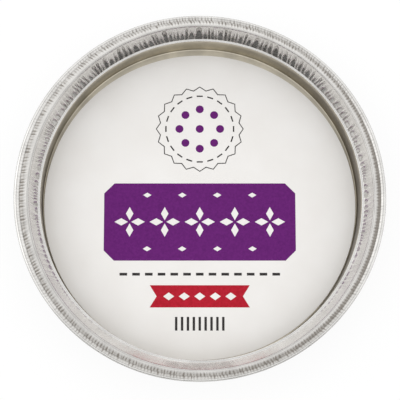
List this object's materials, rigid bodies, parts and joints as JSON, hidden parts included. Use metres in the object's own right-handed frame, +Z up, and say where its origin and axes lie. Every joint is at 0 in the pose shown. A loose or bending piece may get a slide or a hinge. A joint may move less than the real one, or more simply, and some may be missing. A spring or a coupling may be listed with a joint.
{
  "type": "flan mould",
  "caption": "Round shallow foil flan mould with a pleated wall, stepped ledge and rolled rim, and a printed round card on its floor.",
  "frame": {"origin": "centre of the underside of the floor, where the mould stands", "axes": "+Z up out of the mould, along its axis; +Y towards the top of the card's print"},
  "size_m": [0.215, 0.215, 0.024],
  "materials": {
    "foil": "bright rolled foil, pressed and creased",
    "card": "smooth coated white board",
    "purple_ink": "smooth printed ink",
    "red_ink": "smooth printed ink",
    "dark_ink": "smooth printed ink"
  },
  "bodies": {
    "root": {"foil_case": "foil", "label_card": "card", "print_purple": "purple_ink", "print_red": "red_ink", "print_dark": "dark_ink"}
  },
  "joints": []
}
